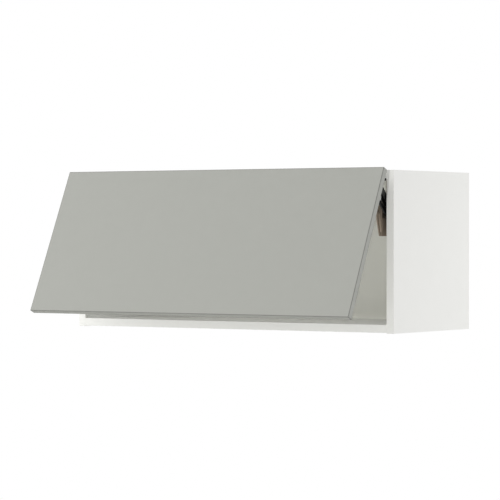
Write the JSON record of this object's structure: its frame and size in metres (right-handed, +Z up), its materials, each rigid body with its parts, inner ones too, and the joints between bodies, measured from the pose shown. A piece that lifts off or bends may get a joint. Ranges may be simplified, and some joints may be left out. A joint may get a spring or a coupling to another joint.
{
  "type": "wall cabinet",
  "caption": "Horizontal wall cabinet with a plain slab door that lifts up and forward on a parallel-arm lift mechanism at each side.",
  "frame": {"origin": "midway between the two hanger holes, on the plane of the wall", "axes": "+X to the right seen from the front, +Y to the wall, +Z up; the door faces -Y"},
  "size_m": [0.914, 0.5666, 0.3866],
  "materials": {
    "white_panel": "white melamine foil on chipboard",
    "back_board": "white lacquered fibreboard",
    "edge_strip": "satin edge foil",
    "grey_door": "matt grey lacquer foil on fibreboard",
    "white_plastic": "moulded",
    "black_plastic": "moulded",
    "clear_rubber": "soft clear",
    "beech": "turned beech",
    "zinc_casting": "zinc casting",
    "taupe_plastic": "moulded, fine texture",
    "black_steel": "black coated steel",
    "zinc_steel": "zinc plated"
  },
  "bodies": {
    "cabinet": {"access_caps": "white_plastic", "back_panel": "back_board", "bottom_edge_strip": "edge_strip", "bottom_panel": "white_panel", "cam_bolts": "zinc_steel", "cam_locks": "zinc_casting", "hanger_screws": "zinc_steel", "left_base_screws": "zinc_steel", "left_lift_base_plate": "zinc_steel", "left_lift_housing": "taupe_plastic", "left_lift_spring": "zinc_steel", "left_pivot_pin": "zinc_steel", "left_side_edge_strip": "edge_strip", "left_side_panel": "white_panel", "left_tension_adjuster": "taupe_plastic", "left_wall_hanger": "zinc_steel", "right_base_screws": "zinc_steel", "right_lift_base_plate": "zinc_steel", "right_lift_housing": "taupe_plastic", "right_lift_spring": "zinc_steel", "right_pivot_pin": "zinc_steel", "right_side_edge_strip": "edge_strip", "right_side_panel": "white_panel", "right_tension_adjuster": "taupe_plastic", "right_wall_hanger": "zinc_steel", "stop_buffers": "black_plastic", "top_edge_strip": "edge_strip", "top_panel": "white_panel", "wooden_dowels": "beech"},
    "levers": {"left_lever_pins": "zinc_steel", "left_lift_lever": "black_steel", "right_lever_pins": "zinc_steel", "right_lift_lever": "black_steel"},
    "arms": {"left_cam_roller": "black_plastic", "left_lift_arm": "black_steel", "right_cam_roller": "black_plastic", "right_lift_arm": "black_steel"},
    "links": {"left_lift_link": "black_steel", "right_lift_link": "black_steel"},
    "door": {"door_buffers": "clear_rubber", "door_panel": "grey_door", "left_bracket_screws": "zinc_steel", "left_door_bracket": "zinc_steel", "left_door_pins": "zinc_steel", "right_bracket_screws": "zinc_steel", "right_door_bracket": "zinc_steel", "right_door_pins": "zinc_steel"}
  },
  "joints": [
    {"name": "lever_swing", "type": "hinge", "parent": "cabinet", "child": "levers", "pos_m": [0, -0.298, 0.0115], "axis": [-1, 0, 0], "range_deg": [-25, 65]},
    {"name": "arm_swing", "type": "hinge", "parent": "levers", "child": "arms", "pos_m": [0, -0.31943, -0.05566], "axis": [-1, 0, 0], "range_deg": [-92.14, 35.5]},
    {"name": "link_swing", "type": "hinge", "parent": "levers", "child": "links", "pos_m": [0, -0.32582, -0.07567], "axis": [-1, 0, 0], "range_deg": [-92.14, 35.5]},
    {"name": "door_tilt", "type": "hinge", "parent": "arms", "child": "door", "pos_m": [0, -0.38251, 0.00295], "axis": [-1, 0, 0], "range_deg": [-35.5, 92.14]}
  ],
  "couplings": [
    {"joint": "arm_swing", "follows": "lever_swing", "ratio": -1.416},
    {"joint": "link_swing", "follows": "lever_swing", "ratio": -1.416},
    {"joint": "door_tilt", "follows": "lever_swing", "ratio": 1.416}
  ]
}
